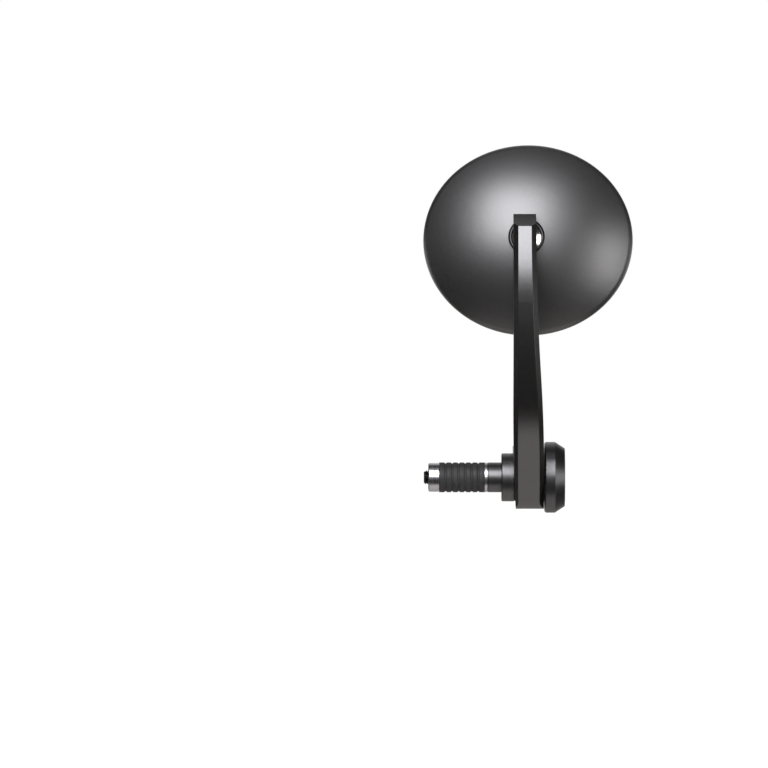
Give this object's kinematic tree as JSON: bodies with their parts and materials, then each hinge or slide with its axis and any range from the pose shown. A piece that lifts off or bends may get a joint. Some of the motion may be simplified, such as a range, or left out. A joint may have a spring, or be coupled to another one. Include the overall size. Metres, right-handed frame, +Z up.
{
  "type": "motorcycle bar end mirror",
  "caption": "Oval convex mirror on a curved machined arm, held by a ball joint and clamped to a handlebar's end by an expander under a chamfered cap.",
  "frame": {"origin": "on the handlebar's axis, at the inboard face of the spindle's collar, where the handlebar's end stops", "axes": "+X outboard along the handlebar's axis, +Y towards the rider, whom the glass faces, +Z up"},
  "size_m": [0.1187, 0.0987, 0.2088],
  "materials": {
    "black_metal": "satin black anodised",
    "bowl_black": "satin black",
    "polished_steel": "polished",
    "plain_steel": "zinc plated",
    "black_oxide_steel": "black oxide",
    "white_nylon": "matt",
    "black_nylon": "matt",
    "black_rubber": "matt",
    "foam": "matt",
    "mirror_glass": "polished"
  },
  "bodies": {
    "clamp": {"spindle": "black_metal", "inner_friction_washer": "black_nylon", "outer_friction_washer": "black_nylon", "bar_end_cap": "black_metal", "plain_washer": "black_oxide_steel", "lock_washer": "black_oxide_steel", "thrust_washer": "plain_steel", "expander_sleeve": "black_rubber"},
    "bolt": {"clamp_bolt": "black_oxide_steel"},
    "cone": {"expander_cone": "plain_steel"},
    "arm": {"arm": "black_metal", "ball_stud": "polished_steel"},
    "rear_seat": {"rear_seat": "white_nylon"},
    "front_seat": {"front_seat": "white_nylon"},
    "head": {"bowl": "bowl_black", "socket_ring": "black_metal", "seat_spring": "plain_steel", "glass_pad": "foam", "mirror_glass": "mirror_glass", "glass_gasket": "black_rubber"}
  },
  "joints": [
    {"name": "arm_swivel", "type": "hinge", "parent": "clamp", "child": "arm", "pos_m": [0.016, 0, 0], "axis": [1, 0, 0], "continuous": true},
    {"name": "head_tilt", "type": "hinge", "parent": "arm", "child": "rear_seat", "pos_m": [0.01385, -0.04979, 0.13596], "axis": [1, 0, 0], "range_deg": [-15, 15]},
    {"name": "head_pan", "type": "hinge", "parent": "rear_seat", "child": "front_seat", "pos_m": [0.01385, -0.04979, 0.13596], "axis": [0, 0, 1], "range_deg": [-15, 15]},
    {"name": "head_roll", "type": "hinge", "parent": "front_seat", "child": "head", "pos_m": [0.01385, -0.04979, 0.13596], "axis": [0.0487, 0.996, -0.075], "continuous": true},
    {"name": "bolt_turn", "type": "hinge", "parent": "clamp", "child": "bolt", "pos_m": [0, 0, 0], "axis": [-1, 0, 0], "range_deg": [0, 864]},
    {"name": "cone_draw", "type": "slide", "parent": "clamp", "child": "cone", "axis": [1, 0, 0], "range_m": [0, 0.003], "deforming": ["expander_sleeve"]}
  ],
  "couplings": [
    {"joint": "cone_draw", "follows": "bolt_turn", "m_per_rad": 0.00019894}
  ]
}
